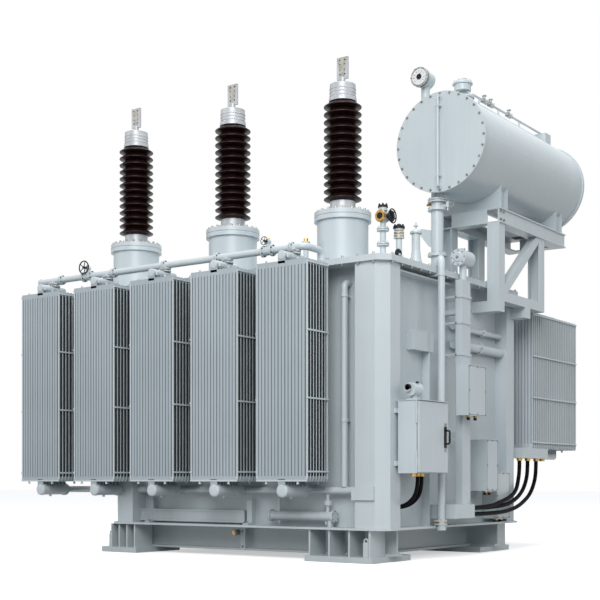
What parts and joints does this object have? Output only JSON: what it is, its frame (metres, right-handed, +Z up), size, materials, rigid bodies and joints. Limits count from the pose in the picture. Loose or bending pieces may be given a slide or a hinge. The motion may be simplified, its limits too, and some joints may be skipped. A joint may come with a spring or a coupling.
{
  "type": "power transformer",
  "caption": "Oil filled power transformer with plate radiators, high voltage bushings, a conservator on a frame and a control cabinet with a hinged door.",
  "frame": {"origin": "on the ground, under the middle of the whole machine", "axes": "+X along the long side towards the end with the control cabinet, +Y from the front radiators to the rear ones, +Z up"},
  "size_m": [4.228, 4.249, 4.406],
  "materials": {
    "tank_paint": "satin",
    "radiator_paint": "satin",
    "brown_glaze": "gloss",
    "bushing_metal": "satin",
    "black_rubber": "matte",
    "black_plastic": "matte",
    "brass": "satin"
  },
  "bodies": {
    "transformer": {"base_frame": "tank_paint", "base_gussets": "tank_paint", "bottom_flange": "tank_paint", "breather_pipe": "tank_paint", "bushing_fittings_1": "bushing_metal", "bushing_fittings_2": "bushing_metal", "bushing_fittings_3": "bushing_metal", "cabinet": "tank_paint", "cable_1": "black_rubber", "cable_2": "black_rubber", "cable_3": "black_rubber", "cable_duct": "tank_paint", "chord_brackets": "tank_paint", "conduit_1": "black_rubber", "conduit_2": "black_rubber", "conservator_end_front": "tank_paint", "conservator_end_rear": "tank_paint", "conservator_saddles": "tank_paint", "conservator_shell": "tank_paint", "corner_columns": "tank_paint", "cover": "tank_paint", "cover_fittings": "tank_paint", "drain_pipe": "tank_paint", "end_boxes": "tank_paint", "filler_dome": "tank_paint", "foot_plates": "tank_paint", "frame_beams": "tank_paint", "frame_brace": "tank_paint", "frame_chord": "tank_paint", "frame_posts": "tank_paint", "front_radiator_1": "radiator_paint", "front_radiator_2": "radiator_paint", "front_radiator_3": "radiator_paint", "front_radiator_4": "radiator_paint", "front_radiator_5": "radiator_paint", "gland_box": "tank_paint", "glands": "brass", "insulator_1": "brown_glaze", "insulator_2": "brown_glaze", "insulator_3": "brown_glaze", "left_pocket": "tank_paint", "level_gauge": "tank_paint", "lower_pipe": "tank_paint", "main_pipe": "tank_paint", "motor_head": "tank_paint", "rear_radiators": "radiator_paint", "rear_stubs": "tank_paint", "relief_device": "tank_paint", "relief_duct": "tank_paint", "riser_pipe": "tank_paint", "side_pipe": "tank_paint", "tank_body": "tank_paint", "tank_flange": "tank_paint", "turret_1": "tank_paint", "turret_2": "tank_paint", "turret_3": "tank_paint", "upper_pipe": "tank_paint", "wall_stiffeners": "tank_paint"},
    "door": {"cabinet_door": "tank_paint", "door_handle": "black_plastic"}
  },
  "joints": [
    {"name": "cabinet_door_hinge", "type": "hinge", "parent": "transformer", "child": "door", "pos_m": [2.012, -1.6095, 1.034], "axis": [0, 0, 1], "range_deg": [-115, 0]}
  ]
}
